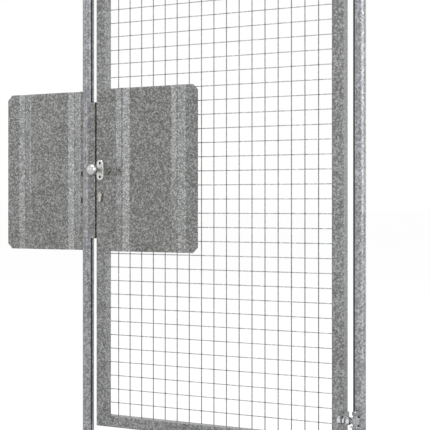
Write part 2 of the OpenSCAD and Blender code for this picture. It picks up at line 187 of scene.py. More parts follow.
class Finish:
    """A material for one of the gate's surfaces, on its principled shader."""

    def __init__(self, name, **constants):
        self.material = bpy.data.materials.new(name)
        self.material.use_nodes = True
        self.tree = self.material.node_tree
        self.surface = self.tree.nodes["Principled BSDF"]
        self.wire(self.surface, {key.replace("_", " "): v for key, v in constants.items()})

    def wire(self, node, values):
        for key, value in values.items():
            if isinstance(value, Value):
                self.tree.links.new(value.socket, node.inputs[key])
            else:
                node.inputs[key].default_value = value

    def add(self, kind, settings, values):
        node = self.tree.nodes.new(kind)
        for key, value in settings.items():
            if key == "stops":
                for i, (place, colour) in enumerate(value):
                    stop = node.color_ramp.elements[i] if i < 2 else \
                        node.color_ramp.elements.new(place)
                    stop.position, stop.color = place, colour
            else:
                setattr(node, key, value)
        self.wire(node, values)
        return node

    def value(self, kind, output, settings, values):
        return Value(self, self.add(kind, settings, values).outputs[output])

    def place(self, scale=(1, 1, 1)):
        where = self.value("ShaderNodeTexCoord", "Object", {}, {})
        if scale == (1, 1, 1):
            return where
        return self.value("ShaderNodeMapping", "Vector", {}, {"Vector": where, "Scale": scale})

    def noise(self, where, size, detail=3.0, rough=0.55):
        return self.value("ShaderNodeTexNoise", "Fac", {},
                          {"Vector": where, "Scale": 1 / size, "Detail": detail,
                           "Roughness": rough})

    def blend(self, factor, first, second):
        return self.value("ShaderNodeMix", 2, {"data_type": "RGBA", "clamp_factor": True},
                          {0: factor, 6: (*first, 1), 7: (*second, 1)})

    def bump(self, height, depth):
        self.wire(self.surface, {"Normal": self.value(
            "ShaderNodeBump", "Normal", {}, {"Height": height, "Distance": depth,
                                             "Strength": 1.0})})


def galvanised(name, dark, light, spangle, metallic=0.8, rough=0.36, streak=(1, 1, 1)):
    """Zinc: crystals of the given size under cloudy patches and a fine grain."""
    finish = Finish(name, Metallic=metallic)
    where = finish.place()
    drift = finish.value("ShaderNodeTexNoise", "Color", {},
                         {"Vector": where, "Scale": 1 / (1.5 * spangle), "Detail": 2.0})
    bent = finish.value("ShaderNodeVectorMath", 0, {"operation": "MULTIPLY_ADD"},
                        {0: drift, 1: (0.3 * spangle,) * 3, 2: where})
    cells = finish.add("ShaderNodeTexVoronoi", {}, {"Vector": bent, "Scale": 1 / spangle})
    crystal = finish.value("ShaderNodeSeparateColor", 0, {},
                           {0: Value(finish, cells.outputs["Color"])})
    small = finish.value("ShaderNodeSeparateColor", 1, {}, {0: finish.value(
        "ShaderNodeTexVoronoi", "Color", {}, {"Vector": bent, "Scale": 2.6 / spangle})})
    cloud = finish.noise(finish.place(streak), 0.04, 4.0, 0.6)
    patch = finish.noise(where, 0.3, 3.0)
    grain = finish.noise(where, 0.0016, 2.0)
    factor = (crystal ** 2.2 * 0.9 + small ** 2 * 0.4 + (cloud - 0.5) * 0.35
              + (patch - 0.5) * 0.25 + (grain - 0.5) * 0.35 + 0.09)
    finish.wire(finish.surface, {
        "Base Color": finish.blend(factor, dark, light),
        "Roughness": rough + crystal * 0.1 + (cloud - 0.5) * 0.2})
    finish.bump(crystal * 0.3 + small * 0.2 + grain * 0.5 + cloud * 2.0, 0.0001)
    return finish.material


def alone(piece):
    """Selects just this piece, and makes it the active one."""
    bpy.ops.object.select_all(action="DESELECT")
    piece.select_set(True)
    bpy.context.view_layer.objects.active = piece


def rooted(piece):
    """Puts the piece's place, turn and size into its mesh."""
    alone(piece)
    bpy.ops.object.transform_apply(location=True, rotation=True, scale=True)
    return piece


def pick(kind, test):
    """In edit mode, selects just the vertices, edges or faces that pass the test."""
    bpy.ops.mesh.select_mode(type={"verts": "VERT", "edges": "EDGE", "faces": "FACE"}[kind])
    bpy.ops.mesh.select_all(action="DESELECT")
    grid = bmesh.from_edit_mesh(bpy.context.object.data)
    for part in getattr(grid, kind):
        if test(part):
            part.select_set(True)
    grid.select_flush_mode()
    bmesh.update_edit_mesh(bpy.context.object.data)


def outward(piece):
    """Merges doubles and turns all faces outwards."""
    alone(piece)
    bpy.ops.object.mode_set(mode="EDIT")
    bpy.ops.mesh.select_all(action="SELECT")
    bpy.ops.mesh.remove_doubles(threshold=1e-6)
    bpy.ops.mesh.normals_make_consistent(inside=False)
    bpy.ops.object.mode_set(mode="OBJECT")
    return piece


def modified(piece, kind, **settings):
    """Adds one modifier to the piece and applies it."""
    alone(piece)
    modifier = piece.modifiers.new(kind.lower(), kind)
    for key, value in settings.items():
        setattr(modifier, key, value)
    bpy.ops.object.modifier_apply(modifier=modifier.name)
    return piece


def softened(piece, width, segments=2, angle=30):
    """Rounds the sharp edges of a piece."""
    return modified(piece, "BEVEL", width=width, segments=segments, limit_method="ANGLE",
                    angle_limit=math.radians(angle))


def rod(start, end, radius, sides=48, edge=0.0):
    """A round bar from one point to another, its end rims rounded."""
    start, end = Vector(start), Vector(end)
    along = end - start
    bpy.ops.object.select_all(action="DESELECT")
    bpy.ops.mesh.primitive_cylinder_add(
        vertices=sides, radius=radius, depth=along.length, location=(start + end) / 2,
        rotation=along.to_track_quat("Z", "Y").to_euler())
    piece = rooted(bpy.context.object)
    return softened(piece, edge) if edge else piece


def turned(base, axis, rings, sides=48):
    """A piece turned on a lathe: rings of (distance along the axis, radius)."""
    base, axis = Vector(base), Vector(axis).normalized()
    at, radius = rings[0]
    bpy.ops.object.select_all(action="DESELECT")
    bpy.ops.mesh.primitive_circle_add(
        vertices=sides, radius=radius, fill_type="NGON", location=base + axis * at,
        rotation=axis.to_track_quat("Z", "Y").to_euler())
    piece = rooted(bpy.context.object)
    bpy.ops.object.mode_set(mode="EDIT")
    bpy.ops.mesh.select_all(action="SELECT")
    for next_at, next_radius in rings[1:]:
        bpy.ops.mesh.extrude_region()
        bpy.ops.transform.translate(value=axis * (next_at - at))
        grow = next_radius / radius
        bpy.ops.transform.resize(value=(grow, grow, grow),
                                 center_override=base + axis * next_at)
        at, radius = next_at, next_radius
    bpy.ops.object.mode_set(mode="OBJECT")
    return outward(piece)


def bead(centre, axis, ring, thick):
    """A round weld bead about an axis."""
    bpy.ops.object.select_all(action="DESELECT")
    bpy.ops.mesh.primitive_torus_add(
        major_radius=ring, minor_radius=thick, major_segments=64, minor_segments=10,
        location=centre, rotation=Vector(axis).to_track_quat("Z", "Y").to_euler())
    return rooted(bpy.context.object)


def joined(first, *others):
    """Several meshes as one piece."""
    alone(first)
    for other in others:
        other.select_set(True)
    bpy.ops.object.join()
    return first


def copied(piece, node, other):
    """A copy with its own mesh, moved from one CAD node's place to another's."""
    twin = piece.copy()
    twin.data = piece.data.copy()
    bpy.context.scene.collection.objects.link(twin)
    twin.location = Vector(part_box(other)[0]) - Vector(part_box(node)[0])
    return rooted(twin)


def settled(piece, name, material, body, slot, *nodes, angle=32):
    """Names a finished piece and hands it to its body in place of its CAD nodes."""
    alone(piece)
    bpy.ops.object.shade_smooth_by_angle(angle=math.radians(angle))
    modified(piece, "WEIGHTED_NORMAL", keep_sharp=True, weight=50)
    piece.name = piece.data.name = name
    piece.data.materials.clear()
    piece.data.materials.append(material)
    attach(piece, body)
    if nodes:
        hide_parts(*nodes)


post_radius = 0.0212
post_zinc = galvanised("post_zinc", (0.128, 0.129, 0.131), (0.41, 0.415, 0.424), 0.006,
                       metallic=0.6, rough=0.3, streak=(1, 1, 0.35))
# Black rubber for the slot grommets; on the posts' thin strips the same black is painted
# shade.
black_rubber_and_painted_shade = Finish("black_rubber_and_painted_shade")
black_rubber_and_painted_shade.wire(black_rubber_and_painted_shade.surface, {
    "Base Color": black_rubber_and_painted_shade.blend(black_rubber_and_painted_shade.noise(black_rubber_and_painted_shade.place((1, 1, 0.2)), 0.01),
                                     (0.012, 0.012, 0.013), (0.04, 0.04, 0.041)),
    "Roughness": 0.45 + black_rubber_and_painted_shade.noise(black_rubber_and_painted_shade.place(), 0.004) * 0.3})
black_rubber_and_painted_shade.bump(black_rubber_and_painted_shade.noise(black_rubber_and_painted_shade.place(), 0.0015), 0.0001)
black_rubber_and_painted_shade = black_rubber_and_painted_shade.material


def block(low, high, edge=0.0, segments=2):
    """A bar with flat sides between two corners, its edges rounded."""
    low, high = Vector(low), Vector(high)
    bpy.ops.object.select_all(action="DESELECT")
    bpy.ops.mesh.primitive_cube_add(size=1, location=(low + high) / 2)
    piece = bpy.context.object
    piece.scale = high - low
    rooted(piece)
    return softened(piece, edge, segments) if edge else piece


low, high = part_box("hinge_post")
hinge_tube = joined(
    rod((0, 0, low[2]), (0, 0, high[2]), post_radius, 64, 0.0006),
    bead((0, 0, low[2] + 0.0008), (0, 0, 1), post_radius + 0.0008, 0.0032))
latch_tube = copied(hinge_tube, "hinge_post", "latch_post")
for post, tube, shade_strip_turn, shade_strip_half in (("hinge_post", hinge_tube, -127, 0.0042),
                                           ("latch_post", latch_tube, -23, 0.0019)):
    settled(tube, post + "_tube", post_zinc, "frame", "post_steel", post)
    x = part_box(post)[0][0] + post_radius
    # Painted shade: a thin black strip, turned to where the tube reflects the leaf's shaded
    # edge.
    shade_strip = block((post_radius - 0.003, -shade_strip_half, low[2] + 0.01),
                  (post_radius + 0.0006, shade_strip_half, high[2] - 0.004), 0.0005)
    shade_strip.location = (x, 0, 0)
    shade_strip.rotation_euler = (0, 0, math.radians(shade_strip_turn))
    settled(rooted(shade_strip), post + "_painted_shade_strip", black_rubber_and_painted_shade, "frame", "black_plastic")

# ---- Head bar, ground sill and foot plates --------------------------------------------
# A round bar ties the tops of the posts, and a flat bar ties the foot plates, each
# welded all round. The foot plates are drilled for four ground anchors.


def softened_node(name, material, width=0.0008):
    """A CAD node that stays: its edges are broken and it takes a material."""
    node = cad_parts[name]
    weld = node.modifiers.new("weld", "WELD")
    weld.merge_threshold = 1e-6
    flat = node.modifiers.new("flat", "DECIMATE")
    flat.decimate_type = "DISSOLVE"
    flat.angle_limit = math.radians(0.5)
    edge = node.modifiers.new("edge", "BEVEL")
    edge.width = width
    edge.segments = 2
    edge.limit_method = "ANGLE"
    edge.angle_limit = math.radians(30)
    node.data.materials.clear()
    node.data.materials.append(material)


low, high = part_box("head_bar")
head_z = (low[2] + high[2]) / 2
head_radius = (high[2] - low[2]) / 2
latch_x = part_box("latch_post")[0][0] + post_radius
bar = rod((latch_x + 0.012, 0, head_z), (-0.012, 0, head_z), head_radius, 64)
welds = [bead((x, 0, head_z), (1, 0, 0), head_radius + 0.0004, 0.0026)
         for x in (latch_x + 0.0148, -0.0148)]
settled(joined(bar, *welds), "head_bar_tube", post_zinc, "frame", "post_steel", "head_bar")
for name in ("ground_sill", "hinge_post_foot", "latch_post_foot"):
    softened_node(name, post_zinc, 0.001)

# ---- Post caps ------------------------------------------------------------------------
# Black polyethylene caps pressed into the tops of the posts. Each has a low dome and a
# rim that stands 1 mm proud of the tube.
black_plastic = Finish("black_plastic")
black_plastic.wire(black_plastic.surface, {
    "Base Color": black_plastic.blend(black_plastic.noise(black_plastic.place(), 0.02),
                                      (0.014, 0.014, 0.015), (0.032, 0.032, 0.032)),
    "Roughness": 0.42 + black_plastic.noise(black_plastic.place(), 0.006) * 0.2})
black_plastic.bump(black_plastic.noise(black_plastic.place(), 0.0012), 0.00006)
low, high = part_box("hinge_post_cap")
rim = (high[0] - low[0]) / 2
top = high[2]
hinge_cap = turned((0, 0, 0), (0, 0, 1), [
    (low[2], 0.0182), (top - 0.004, 0.0184), (top - 0.004, rim - 0.0003),
    (top - 0.0036, rim), (top - 0.0022, rim), (top - 0.0014, rim - 0.0006),
    (top - 0.0008, rim - 0.003), (top - 0.0003, rim - 0.009), (top, rim - 0.016)])
latch_cap = copied(hinge_cap, "hinge_post_cap", "latch_post_cap")
for name, cap in (("hinge_post_cap", hinge_cap), ("latch_post_cap", latch_cap)):
    settled(cap, name + "_dome", black_plastic.material, "frame", "black_plastic", name)

# ---- The leaf's frame -----------------------------------------------------------------
# Four lengths of 40 mm square tube with rounded corners, cut to mitres and welded.
# The welds are ground nearly flush on the front and the back, then all is galvanised.


def square_tube(low, high, along, corner):
    """A square tube along one axis: the four long edges get the mill's round corner."""
    piece = block(low, high)
    bpy.ops.object.mode_set(mode="EDIT")

    def long_edge(edge):
        step = edge.verts[0].co - edge.verts[1].co
        return abs(step[along]) > 0.5 * (high[along] - low[along])
    pick("edges", long_edge)
    bpy.ops.mesh.bevel(offset=corner, segments=6, affect="EDGES")
    bpy.ops.object.mode_set(mode="OBJECT")
    return piece


def mitred(piece, point, normal):
    """Saws the piece along a plane, keeps what lies behind it and closes the cut."""
    alone(piece)
    bpy.ops.object.mode_set(mode="EDIT")
    bpy.ops.mesh.select_all(action="SELECT")
    bpy.ops.mesh.bisect(plane_co=point, plane_no=normal, use_fill=True, clear_outer=True)
    bpy.ops.object.mode_set(mode="OBJECT")


leaf_zinc = galvanised("leaf_zinc", (0.075, 0.0745, 0.072), (0.375, 0.377, 0.376), 0.005,
                       metallic=0.6, rough=0.3)
stile_low, stile_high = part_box("lock_stile")
_, leaf_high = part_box("hinge_stile")
left, right, bottom, top = stile_low[0], leaf_high[0], stile_low[2], stile_high[2]
side = leaf_high[1] * 2
half = side / 2
mitres = {"lock_stile": (((left, 0, bottom), (1, 0, -1)), ((left, 0, top), (1, 0, 1))),
          "hinge_stile": (((right, 0, bottom), (-1, 0, -1)), ((right, 0, top), (-1, 0, 1))),
          "bottom_rail": (((left, 0, bottom), (-1, 0, 1)), ((right, 0, bottom), (1, 0, 1))),
          "top_rail": (((left, 0, top), (-1, 0, -1)), ((right, 0, top), (1, 0, -1)))}
spans = {"lock_stile": ((left, -half, bottom), (left + side, half, top), 2),
         "hinge_stile": ((right - side, -half, bottom), (right, half, top), 2),
         "bottom_rail": ((left, -half, bottom), (right, half, bottom + side), 0),
         "top_rail": ((left, -half, top - side), (right, half, top), 0)}
tube_corner, corner_clear = 0.003, 0.004
seam_r, seam_sunk, inner_seam_r = 0.0018, 0.0009, 0.0028
for name, (start, end, along) in spans.items():
    bar = square_tube(start, end, along, tube_corner)
    for point, normal in mitres[name]:
        mitred(bar, point, normal)
    if name.endswith("rail"):
        z_out, z_in = (bottom, bottom + side) if name == "bottom_rail" else (top, top - side)
        for x_out, x_in in ((left, left + side), (right, right - side)):
            edge = corner_clear if x_out == left else -corner_clear
            rise = corner_clear if z_out == bottom else -corner_clear
            for y in (-half + seam_sunk, half - seam_sunk):
                bar = joined(bar, rod((x_out + edge, y, z_out + rise), (x_in, y, z_in),
                                      seam_r, 10))
            bar = joined(bar, rod((x_in, -half + corner_clear, z_in),
                                  (x_in, half - corner_clear, z_in), inner_seam_r, 12))
    settled(bar, name + "_tube", leaf_zinc, "leaf", "leaf_steel", name)

# ---- The welded mesh ------------------------------------------------------------------
# Galvanised wire of 3.5 mm on a 50 mm pitch. The cross wires lie behind the upright
# ones, every crossing is resistance welded, and each end is tacked to the tube.
# Both wires are the same zinc. The cross wires are painted lighter as painted highlight, and
# the uprights darker as painted shade.
upright_zinc_painted_shade = galvanised("upright_zinc_painted_shade", (0.1, 0.1, 0.1), (0.28, 0.28, 0.288), 0.006,
                          metallic=0.6, rough=0.34)
cross_zinc_painted_highlight = galvanised("cross_zinc_painted_highlight", (0.26, 0.26, 0.27), (0.56, 0.57, 0.6), 0.006,
                        metallic=0.6, rough=0.34)
wire, pitch, bite = 0.00175, 0.05, 0.0002
first_x, first_z = left + side + 0.047, bottom + side + 0.048
inner_right, inner_top = right - side, top - side
count_x = int((inner_right - 2 * wire - first_x) / pitch + 1e-6) + 1
count_z = int((inner_top - 2 * wire - first_z) / pitch + 1e-6) + 1
low_rows = count_z // 2
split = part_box("lower_mesh")[1][2]


def rowed(piece, count, step):
    """Repeats a piece along a line."""
    return modified(piece, "ARRAY", count=count, use_relative_offset=False,
                    use_constant_offset=True, constant_offset_displace=step)


def lump(x, y, z, size):
    """A small flattened drop of weld metal."""
    bpy.ops.object.select_all(action="DESELECT")
    bpy.ops.mesh.primitive_ico_sphere_add(subdivisions=1, radius=1, location=(x, y, z))
    bpy.context.object.scale = size
    return rooted(bpy.context.object)


for name, z0, z1, row0, rows in (
        ("lower_mesh", bottom + side, split, 0, low_rows),
        ("upper_mesh", split, inner_top, low_rows, count_z - low_rows)):
    row_z = first_z + row0 * pitch
    uprights = rowed(rod((first_x, -wire + bite, z0), (first_x, -wire + bite, z1), wire, 10),
                     count_x, (pitch, 0, 0))
    across = rowed(rod((left + side - 0.001, wire - bite, row_z),
                       (inner_right + 0.001, wire - bite, row_z), wire, 10),
                   rows, (0, 0, pitch))
    welds = rowed(rowed(lump(first_x, 0, row_z, (0.0026, 0.0016, 0.0026)), count_x,
                        (pitch, 0, 0)), rows, (0, 0, pitch))
    tacks = [rowed(lump(x, 0.0012, row_z, (0.0022, 0.0042, 0.0036)), rows, (0, 0, pitch))
             for x in (left + side, inner_right)]
    rail_z = bottom + side if row0 == 0 else inner_top
    tacks.append(rowed(lump(first_x, -0.0014, rail_z, (0.0036, 0.0042, 0.0022)), count_x,
                       (pitch, 0, 0)))
    settled(joined(uprights, welds), name + "_uprights", upright_zinc_painted_shade, "leaf", "mesh_wire",
            name, angle=60)
    settled(joined(across, *tacks), name + "_cross_wires", cross_zinc_painted_highlight, "leaf", "mesh_wire",
            angle=60)

# ---- The guard plates -----------------------------------------------------------------
# Galvanised sheet of 2 mm, press-folded with two upright ribs and chamfered corners.
# They stop a hand from reaching the inside handle. The leaf's plate has its ribs to the
# front, the latch post's has them to the back and two slots for a fence clamp.
sheet_zinc = galvanised("sheet_zinc", (0.077, 0.0765, 0.0715), (0.36, 0.361, 0.353), 0.0045,
                        metallic=0.82, rough=0.22)


def folded_sheet(outer, inner, y, ribs, rise, z0, z1, chamfer, thick):
    """A sheet from its outer edge to its inner edge, folded up along its ribs."""
    mid_x, mid_z = (outer + inner) / 2, (z0 + z1) / 2
    bpy.ops.object.select_all(action="DESELECT")
    bpy.ops.mesh.primitive_plane_add(size=1, location=(mid_x, y, mid_z),
                                     rotation=(math.radians(90), 0, 0))
    sheet = bpy.context.object
    sheet.scale = (abs(inner - outer), z1 - z0, 1)
    rooted(sheet)
    bpy.ops.object.mode_set(mode="EDIT")
    for centre, width in ribs:
        for x in (centre - width / 2, centre, centre + width / 2):
            bpy.ops.mesh.select_all(action="SELECT")
            bpy.ops.mesh.bisect(plane_co=(x, y, mid_z), plane_no=(1, 0, 0))
    for quarter in (1, 2, 3):
        bpy.ops.mesh.select_all(action="SELECT")
        bpy.ops.mesh.bisect(plane_co=(mid_x, y, z0 + (z1 - z0) * quarter / 4),
                            plane_no=(0, 0, 1))
    for centre, width in ribs:
        pick("verts", lambda v: abs(v.co.x - centre) < 1e-4)
        bpy.ops.transform.translate(value=(0, rise, 0))
    folds = [centre + shift * width / 2 for centre, width in ribs for shift in (-1, 0, 1)]
    pick("edges", lambda e: any(abs(e.verts[0].co.x - f) < 1e-4
                                and abs(e.verts[1].co.x - f) < 1e-4 for f in folds))
    bpy.ops.mesh.bevel(offset=0.0042, segments=4, affect="EDGES")
    away = -1 if outer < inner else 1
    for z, up in ((z0, -1), (z1, 1)):
        bpy.ops.mesh.select_all(action="SELECT")
        bpy.ops.mesh.bisect(plane_co=(outer - away * chamfer, y, z), plane_no=(away, 0, up),
                            clear_outer=True)
    bpy.ops.object.mode_set(mode="OBJECT")
    modified(sheet, "SOLIDIFY", thickness=thick, offset=0.0, use_even_offset=True)
    outward(sheet)
    return softened(sheet, 0.0004, 2, 60)


def cut(piece, *cutters):
    """Cuts the shapes out of the piece and throws the cutters away."""
    for cutter in cutters:
        modified(piece, "BOOLEAN", operation="DIFFERENCE", object=cutter, solver="EXACT")
        bpy.data.objects.remove(cutter)


low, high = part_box("leaf_guard_plate")
plate_t, plate_chamfer = 0.002, 0.02
rib_places, rib_width, rib_rise = (0.08, 0.314), 0.058, 0.0085
leaf_plate_right, leaf_plate_left = high[0], low[0]
leaf_plate = folded_sheet(
    leaf_plate_right, leaf_plate_left, -half - plate_t / 2,
    [(leaf_plate_right - place, rib_width) for place in rib_places],
    -rib_rise, low[2], high[2], plate_chamfer, plate_t)
handle_x = left + 0.022
handle_z = (low[2] + high[2]) / 2
cylinder_z = handle_z - 0.092
barrel_r, leg_half, leg_drop = 0.0085, 0.005, 0.0245


def profile_plug(front, back, grow, edge=0.0):
    """The keyhole-shaped bar of a lock cylinder."""
    body = rod((handle_x, front, cylinder_z), (handle_x, back, cylinder_z),
               barrel_r + grow, 48)
    leg = block((handle_x - leg_half - grow, front, cylinder_z - leg_drop - grow),
                (handle_x + leg_half + grow, back, cylinder_z))
    bpy.ops.object.mode_set(mode="EDIT")
    pick("edges", lambda e: abs(e.verts[0].co.y - e.verts[1].co.y) > 0.01
         and e.verts[0].co.z < cylinder_z - 0.01)
    bpy.ops.mesh.bevel(offset=0.0049, segments=6, affect="EDGES")
    bpy.ops.object.mode_set(mode="OBJECT")
    modified(body, "BOOLEAN", operation="UNION", object=leg, solver="EXACT")
    bpy.data.objects.remove(leg)
    return softened(body, edge) if edge else body


cut(leaf_plate, profile_plug(-0.03, -0.01, 0.0008))
spot_welds = []
for z in (0.06, 0.19, 0.41, 0.54):
    spot_welds.append(turned((leaf_plate_left + 0.033, -half - plate_t + 0.0006, low[2] + z),
                             (0, -1, 0), [(0, 0.004), (0.0006, 0.0036), (0.0009, 0.002)], 20))
settled(joined(leaf_plate, *spot_welds), "leaf_guard_plate_sheet", sheet_zinc, "leaf",
        "guard_sheet", "leaf_guard_plate")

low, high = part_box("post_guard_plate")
outer, inner = low[0], high[0]
post_plate_y = post_radius + 0.00005 + plate_t / 2
post_plate = folded_sheet(outer, inner, post_plate_y,
                          [(outer + place, rib_width) for place in rib_places], rib_rise,
                          low[2], high[2], plate_chamfer, plate_t)
slot_x, slot_half_w, slot_half_h = latch_x - 0.043, 0.0045, 0.008
clamp_mid, clamp_half = handle_z - 0.061, 0.0505
clamp_z = (clamp_mid + clamp_half, clamp_mid - clamp_half)
for z in clamp_z:
    cutter = block((slot_x - slot_half_w, 0.018, z - slot_half_h),
                   (slot_x + slot_half_w, 0.028, z + slot_half_h))
    bpy.ops.object.mode_set(mode="EDIT")
    pick("edges", lambda e: abs(e.verts[0].co.y - e.verts[1].co.y) > 0.005)
    bpy.ops.mesh.bevel(offset=0.0044, segments=6, affect="EDGES")
    bpy.ops.object.mode_set(mode="OBJECT")
    cut(post_plate, cutter)
settled(post_plate, "post_guard_plate_sheet", sheet_zinc, "frame", "guard_sheet",
        "post_guard_plate")
for name in ("post_guard_tabs", "keeper_channel"):
    softened_node(name, sheet_zinc, 0.0012)

# ---- Slot grommets --------------------------------------------------------------------
# Black rubber grommets close the two clamp slots until a clamp's bolts go through them.
# Each has a lip on the front and a thin skin across the slot.
grommets = []
for z in clamp_z:
    for grow, front, back in ((0.0015, post_radius - 0.0006, post_radius + 0.0004),
                              (-0.0002, post_radius, post_radius + 0.0024)):
        part = block((slot_x - slot_half_w - grow, front, z - slot_half_h - grow),
                     (slot_x + slot_half_w + grow, back, z + slot_half_h + grow))
        bpy.ops.object.mode_set(mode="EDIT")
        pick("edges", lambda e: abs(e.verts[0].co.x - e.verts[1].co.x) < 1e-6
             and abs(e.verts[0].co.z - e.verts[1].co.z) < 1e-6)
        bpy.ops.mesh.bevel(offset=0.0043 + grow, segments=6, affect="EDGES")
        bpy.ops.object.mode_set(mode="OBJECT")
        grommets.append(softened(part, 0.0003, 2, 50))
settled(joined(*grommets), "clamp_slot_grommets", black_rubber_and_painted_shade, "frame", "black_plastic")

# ---- Lock case and bolts --------------------------------------------------------------
# A mortise lock in the stile: a stainless face strip let into the tube's edge, with the
# latch and the dead bolt just showing. The case itself is hidden.
satin = Finish("satin_stainless", Metallic=1.0)
satin_streak = satin.noise(satin.place((1, 1, 0.06)), 0.0012, 2.0)
satin.wire(satin.surface, {
    "Base Color": satin.blend(satin.noise(satin.place(), 0.02), (0.52, 0.51, 0.49),
                              (0.68, 0.67, 0.645)),
    "Roughness": 0.24 + satin_streak * 0.2})
satin.bump(satin_streak, 0.00003)
for name in ("lock_case", "latch_bolt", "dead_bolt"):
    softened_node(name, satin.material, 0.0006)

# ---- Handle roses ---------------------------------------------------------------------
# Oval stainless roses 8 mm thick on both sides, each held by two countersunk screws. The
# screws have a hexagon recess and sit just under the face. Their near-black, dull colour is
# painted shade, for the dark of the screw holes.
# Painted shade: the screws are near-black with little reflection, standing for the dark screw
# holes.
screw_black_painted_shade = Finish("screw_black_painted_shade", Specular_IOR_Level=0.15)
screw_black_painted_shade.wire(screw_black_painted_shade.surface, {
    "Base Color": screw_black_painted_shade.blend(screw_black_painted_shade.noise(screw_black_painted_shade.place(), 0.002),
                                    (0.004, 0.004, 0.004), (0.012, 0.012, 0.012)),
    "Roughness": 0.4 + screw_black_painted_shade.noise(screw_black_painted_shade.place(), 0.001) * 0.2})
rose_half_w, rose_half_h, rose_t, screw_z = 0.0145, 0.038, 0.008, 0.025
rose_round, face_round = 0.0143, 0.0022
for name, wall, away in (("outer_rose", -half - plate_t, -1), ("inner_rose", half, 1)):
    face = wall + away * rose_t
    rose = block((handle_x - rose_half_w, min(wall, face), handle_z - rose_half_h),
                 (handle_x + rose_half_w, max(wall, face), handle_z + rose_half_h))
    bpy.ops.object.mode_set(mode="EDIT")
    pick("edges", lambda e: abs(e.verts[0].co.y - e.verts[1].co.y) > 0.005)
    bpy.ops.mesh.bevel(offset=rose_round, segments=16, affect="EDGES")
    pick("faces", lambda f: f.normal.y * away > 0.9)
    bpy.ops.mesh.bevel(offset=face_round, segments=4, affect="EDGES")
    bpy.ops.object.mode_set(mode="OBJECT")
    screws = []
    for z in (handle_z + screw_z, handle_z - screw_z):
        cut(rose, turned((handle_x, face, z), (0, away, 0),
                         [(-0.006, 0.003), (-0.003, 0.003), (0.0006, 0.0057)], 32))
        screws.append(turned((handle_x, face, z), (0, away, 0),
                             [(-0.0075, 0.0029), (-0.0026, 0.0029), (-0.0006, 0.0047),
                              (-0.0004, 0.0047), (-0.0004, 0.0024), (-0.003, 0.002)], 32))
    settled(rose, name + "_oval", satin.material, "leaf", "stainless", name)
    settled(joined(*screws), name + "_screws", screw_black_painted_shade.material, "leaf", "stainless")

# ---- The knob -------------------------------------------------------------------------
# A fixed ball knob of 43 mm, turned from stainless steel, on a waisted neck with a
# collar against the rose.
bright = Finish("bright_stainless", Metallic=1.0)
bright_ring = bright.noise(bright.place((1, 0.1, 1)), 0.004, 2.0)
bright.wire(bright.surface, {
    "Base Color": bright.blend(bright.noise(bright.place(), 0.015), (0.47, 0.465, 0.45),
                               (0.52, 0.515, 0.5)),
    "Roughness": 0.3 + bright_ring * 0.04})
ball, reach, neck = 0.0215, 0.056, 0.009
ball_rings = [(reach + ball * math.sin(a), ball * math.cos(a))
              for a in [math.radians(d) for d in range(-60, 85, 4)]]
knob = turned((handle_x, -half - plate_t, handle_z), (0, -1, 0),
              [(0.001, neck), (0.0085, neck), (0.009, 0.0128), (0.0112, 0.0128),
               (0.0118, 0.0122), (0.0122, neck), (0.02, 0.0082), (0.03, 0.0084)]
              + ball_rings + [(reach + ball, 0.0012)], 64)
settled(knob, "door_knob_ball", bright.material, "leaf", "stainless", "door_knob", angle=40)

# ---- The lock cylinder ----------------------------------------------------------------
# A profile cylinder of nickel-plated brass through plate and stile, with a turning plug
# and a keyway at each end.
nickel = Finish("nickel_brass", Metallic=1.0)
nickel.wire(nickel.surface, {
    "Base Color": nickel.blend(nickel.noise(nickel.place(), 0.004), (0.46, 0.445, 0.39),
                               (0.62, 0.6, 0.54)),
    "Roughness": 0.2 + nickel.noise(nickel.place(), 0.0008) * 0.18})
low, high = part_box("lock_cylinder")
cylinder = profile_plug(low[1], high[1], 0.0, 0.0005)
for face, away in ((low[1], -1), (high[1], 1)):
    ring = turned((handle_x, face, cylinder_z + 0.0006), (0, away, 0),
                  [(-0.0014, 0.0071), (0.0004, 0.0071)], 40)
    cut(cylinder, ring)
    plug = turned((handle_x, face, cylinder_z + 0.0006), (0, away, 0),
                  [(-0.002, 0.006), (-0.0006, 0.006), (-0.0003, 0.0056), (-0.0003, 0.003)],
                  40)
    keyway = block((handle_x - 0.0013, face - 0.0016, cylinder_z - 0.0042),
                   (handle_x + 0.0013, face + 0.0016, cylinder_z + 0.0048))
    cut(plug, keyway)
    cylinder = joined(cylinder, plug)
settled(cylinder, "lock_cylinder_profile", nickel.material, "leaf", "cylinder_brass",
        "lock_cylinder")

# ---- The inner lever ------------------------------------------------------------------
# A round stainless lever of 19 mm on the inside, bent from one bar. It turns the square
# spindle through the lock.
lever_r, root_r, bend = 0.0095, 0.0088, 0.014
lever_end, lever_back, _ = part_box("inner_lever")[1]
lever_y, lever_start = lever_back - lever_r, half + 0.001
bpy.ops.object.select_all(action="DESELECT")
bpy.ops.mesh.primitive_circle_add(vertices=40, radius=root_r, fill_type="NGON",
                                  location=(handle_x, lever_start, handle_z),
                                  rotation=(math.radians(-90), 0, 0))
lever = rooted(bpy.context.object)
bpy.ops.object.mode_set(mode="EDIT")
bpy.ops.mesh.select_all(action="SELECT")
bpy.ops.mesh.extrude_region()
bpy.ops.transform.translate(value=(0, lever_y - bend - lever_start, 0))
bpy.ops.transform.resize(value=(lever_r / root_r,) * 3,
                         center_override=(handle_x, lever_y - bend, handle_z))
bpy.ops.mesh.spin(steps=12, angle=math.radians(90), axis=(0, 0, 1),
                  center=(handle_x + bend, lever_y - bend, handle_z))
bpy.ops.mesh.extrude_region()
bpy.ops.transform.translate(value=(lever_end - 0.004 - handle_x - bend, 0, 0))
for step, grow in ((0.0018, 0.93), (0.0013, 0.86), (0.0009, 0.7)):
    bpy.ops.mesh.extrude_region()
    bpy.ops.transform.translate(value=(step, 0, 0))
    bpy.ops.transform.resize(value=(grow, grow, grow))
bpy.ops.object.mode_set(mode="OBJECT")
